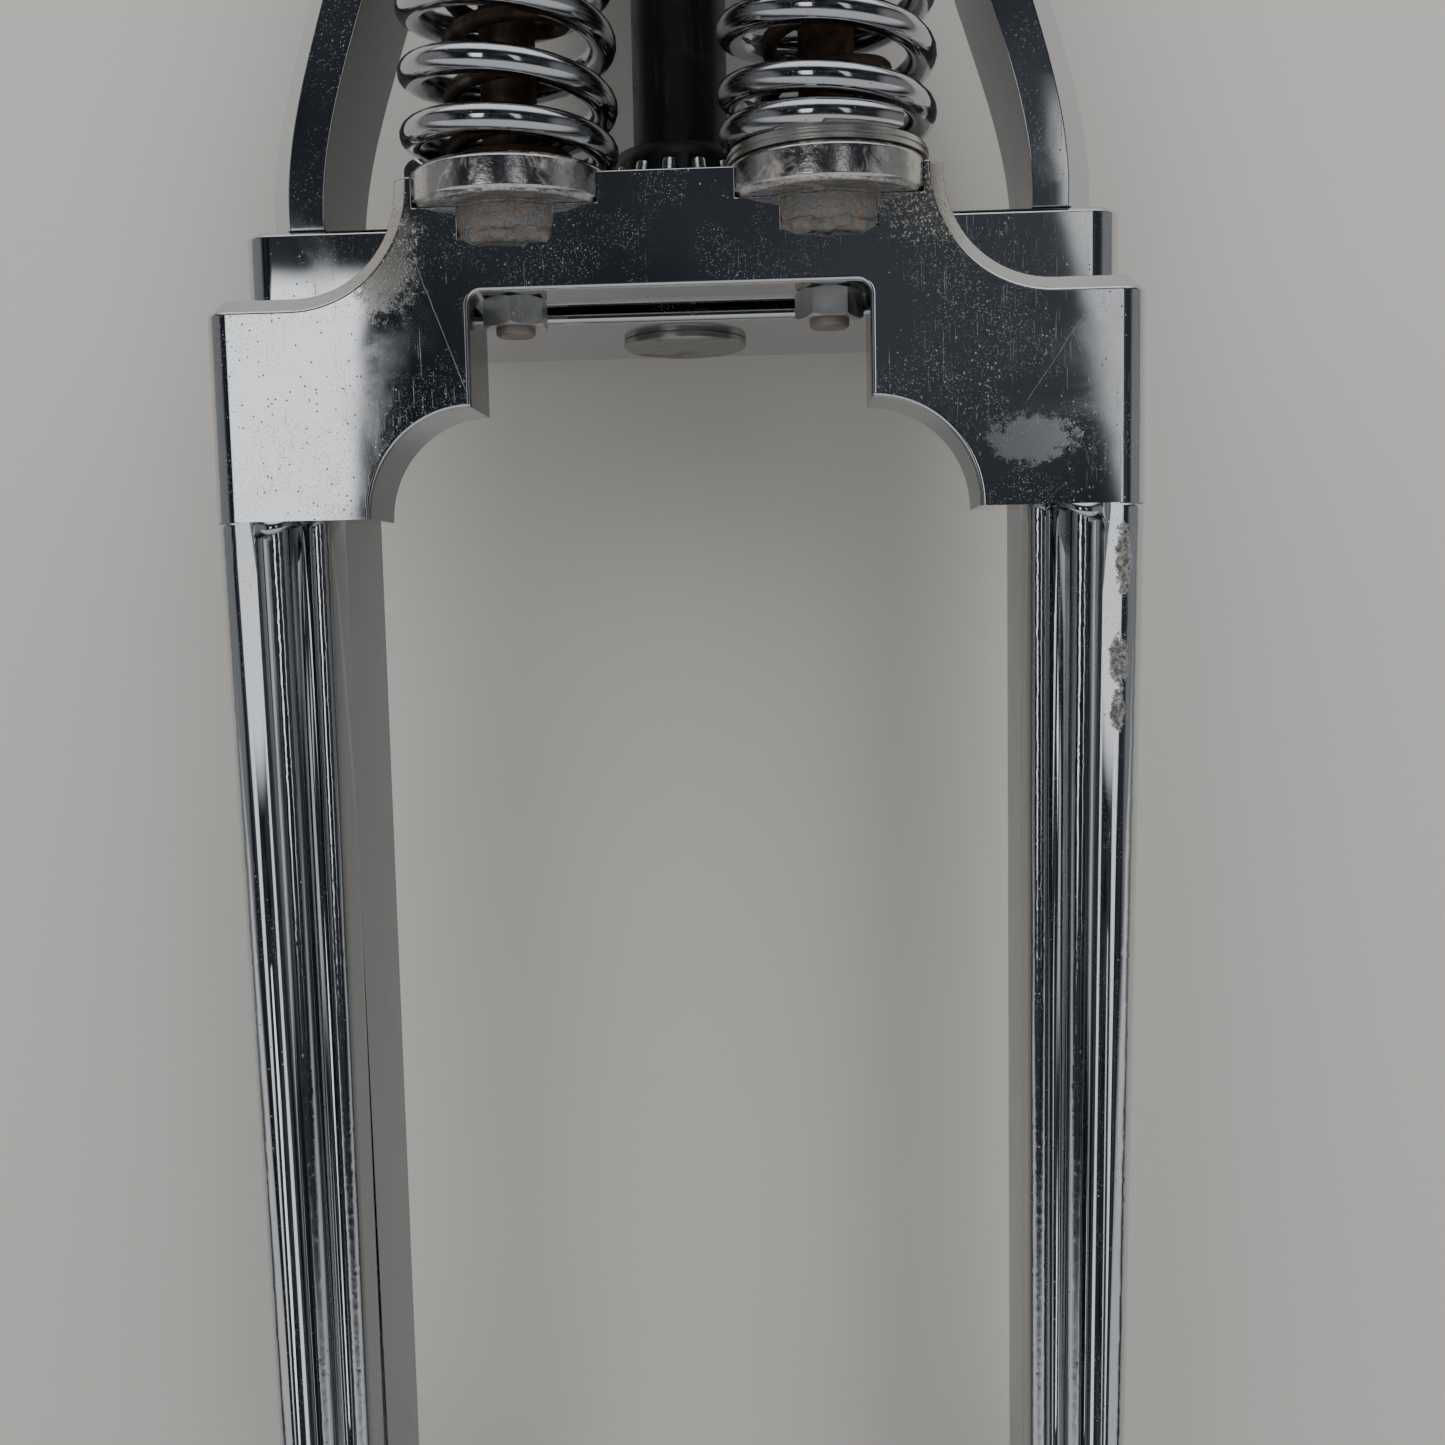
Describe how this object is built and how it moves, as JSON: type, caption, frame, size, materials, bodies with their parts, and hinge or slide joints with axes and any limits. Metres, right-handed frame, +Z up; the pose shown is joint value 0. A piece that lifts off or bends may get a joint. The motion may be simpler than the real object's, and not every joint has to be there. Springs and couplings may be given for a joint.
{
  "type": "motorcycle springer front fork",
  "caption": "Chromed springer front fork: rigid rear fork with steering stem, sprung front fork on bottom rockers, coil springs between crown and bridge.",
  "frame": {"origin": "on the steering stem's axis, at the rear yoke's top face, where the lower bearing seats", "axes": "+Z up the steering stem, -Y to the front of the fork, X across the fork"},
  "size_m": [0.2516, 0.1521, 0.7138],
  "materials": {
    "chrome": "polished, worn",
    "cast_chrome": "rough plated casting",
    "zinc_steel": "dull plated",
    "black_steel": "worn black",
    "spring_steel": "polished spring wire",
    "rusty_steel": "rusted steel",
    "bronze": "turned bronze",
    "bearing_steel": "ground"
  },
  "bodies": {
    "rigid_fork": {"rigid_yoke": "chrome", "steering_stem": "black_steel", "spring_bridge": "chrome", "bridge_bushes": "bronze", "upper_spring_seats": "zinc_steel", "top_bracket": "chrome", "bracket_bolts": "chrome", "bracket_washers": "zinc_steel", "stem_washer": "zinc_steel", "stem_top_nut": "chrome", "stem_adjuster": "black_steel", "lower_dust_shield": "black_steel", "lower_bearing_cone": "bearing_steel", "upper_dust_shield": "black_steel", "upper_bearing_cone": "bearing_steel", "rear_pivot_bushes": "bronze", "rear_grease_nipples": "zinc_steel", "rigid_leg_left": "chrome", "rigid_leg_right": "chrome", "upper_arm_left": "chrome", "upper_arm_right": "chrome", "rebound_spring_left": "spring_steel", "rebound_spring_right": "spring_steel"},
    "rocker_left": {"rocker_left": "chrome", "pivot_studs_left": "zinc_steel", "pivot_washers_left": "zinc_steel", "pivot_nuts_left": "chrome"},
    "rocker_right": {"rocker_right": "chrome", "pivot_studs_right": "zinc_steel", "pivot_washers_right": "zinc_steel", "pivot_nuts_right": "chrome"},
    "spring_fork": {"fork_crown": "chrome", "front_leg_left": "chrome", "front_leg_right": "chrome", "spring_perch_left": "cast_chrome", "spring_perch_right": "cast_chrome", "perch_shims": "zinc_steel", "spring_rod_left": "rusty_steel", "spring_rod_right": "rusty_steel", "rod_foot_nuts": "zinc_steel", "rod_retainers": "chrome", "rod_cap_nuts": "chrome", "front_pivot_bushes": "bronze", "front_grease_nipples": "zinc_steel", "main_spring_left": "spring_steel", "main_spring_right": "spring_steel", "inner_spring_left": "rusty_steel", "inner_spring_right": "rusty_steel"},
    "lower_bearing": {"lower_bearing_rollers": "bearing_steel", "lower_bearing_cage": "black_steel"},
    "upper_bearing": {"upper_bearing_rollers": "bearing_steel", "upper_bearing_cage": "black_steel"}
  },
  "joints": [
    {"name": "rocker_left_pivot", "type": "hinge", "parent": "rigid_fork", "child": "rocker_left", "pos_m": [0, -0.006, -0.4], "axis": [-1, 0, 0], "range_deg": [0, 36], "stiffness_Nm_per_rad": 75, "springref_deg": -8.59},
    {"name": "rocker_right_pivot", "type": "hinge", "parent": "rigid_fork", "child": "rocker_right", "pos_m": [0, -0.006, -0.4], "axis": [-1, 0, 0], "range_deg": [0, 36]},
    {"name": "front_fork_pivot", "type": "hinge", "parent": "rocker_left", "child": "spring_fork", "pos_m": [0, -0.05355, -0.41545], "axis": [-1, 0, 0], "range_deg": [-36, 0], "deforming": ["main_spring_left", "main_spring_right", "inner_spring_left", "inner_spring_right"]},
    {"name": "lower_bearing_turn", "type": "hinge", "parent": "rigid_fork", "child": "lower_bearing", "pos_m": [0, 0, 0.01], "axis": [0, 0, 1], "continuous": true},
    {"name": "upper_bearing_turn", "type": "hinge", "parent": "rigid_fork", "child": "upper_bearing", "pos_m": [0, 0, 0.18], "axis": [0, 0, 1], "continuous": true}
  ],
  "couplings": [
    {"joint": "rocker_right_pivot", "follows": "rocker_left_pivot", "ratio": 1},
    {"joint": "front_fork_pivot", "follows": "rocker_left_pivot", "ratio": -1}
  ]
}
